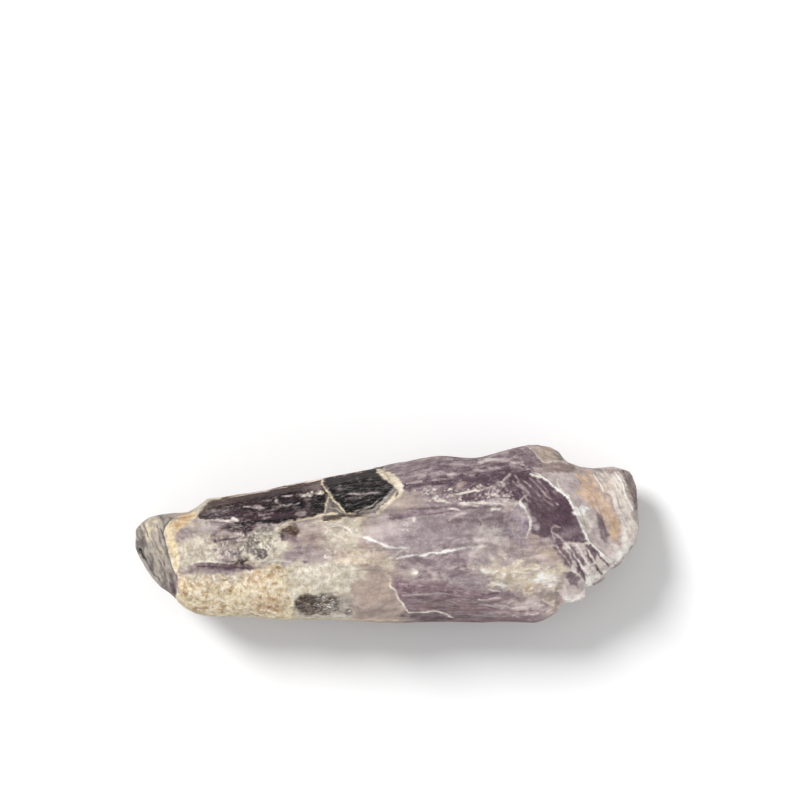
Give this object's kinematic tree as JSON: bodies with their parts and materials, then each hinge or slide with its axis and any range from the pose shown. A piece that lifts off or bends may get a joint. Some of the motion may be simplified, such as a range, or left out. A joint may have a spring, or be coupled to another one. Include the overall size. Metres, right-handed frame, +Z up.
{
  "type": "tumbled amethyst shard",
  "caption": "Long flat shard of banded amethyst with its edges worn round, a dark crystal grown into its side and stepped breaks at its tips; lies on a flat face as a decorative stone.",
  "frame": {"origin": "on the surface that the shard rests on, under the middle of its length and width", "axes": "+X along the shard, towards its broad end with the curved break, +Z up from the resting face, +Y towards the side with the dark crystal"},
  "size_m": [0.0909, 0.0323, 0.0208],
  "materials": {
    "amethyst": "tumbled to a soft gloss, cloudy lilac quartz with dark purple windows, cream and orange crust"
  },
  "bodies": {
    "root": {"shard": "amethyst"}
  },
  "joints": []
}
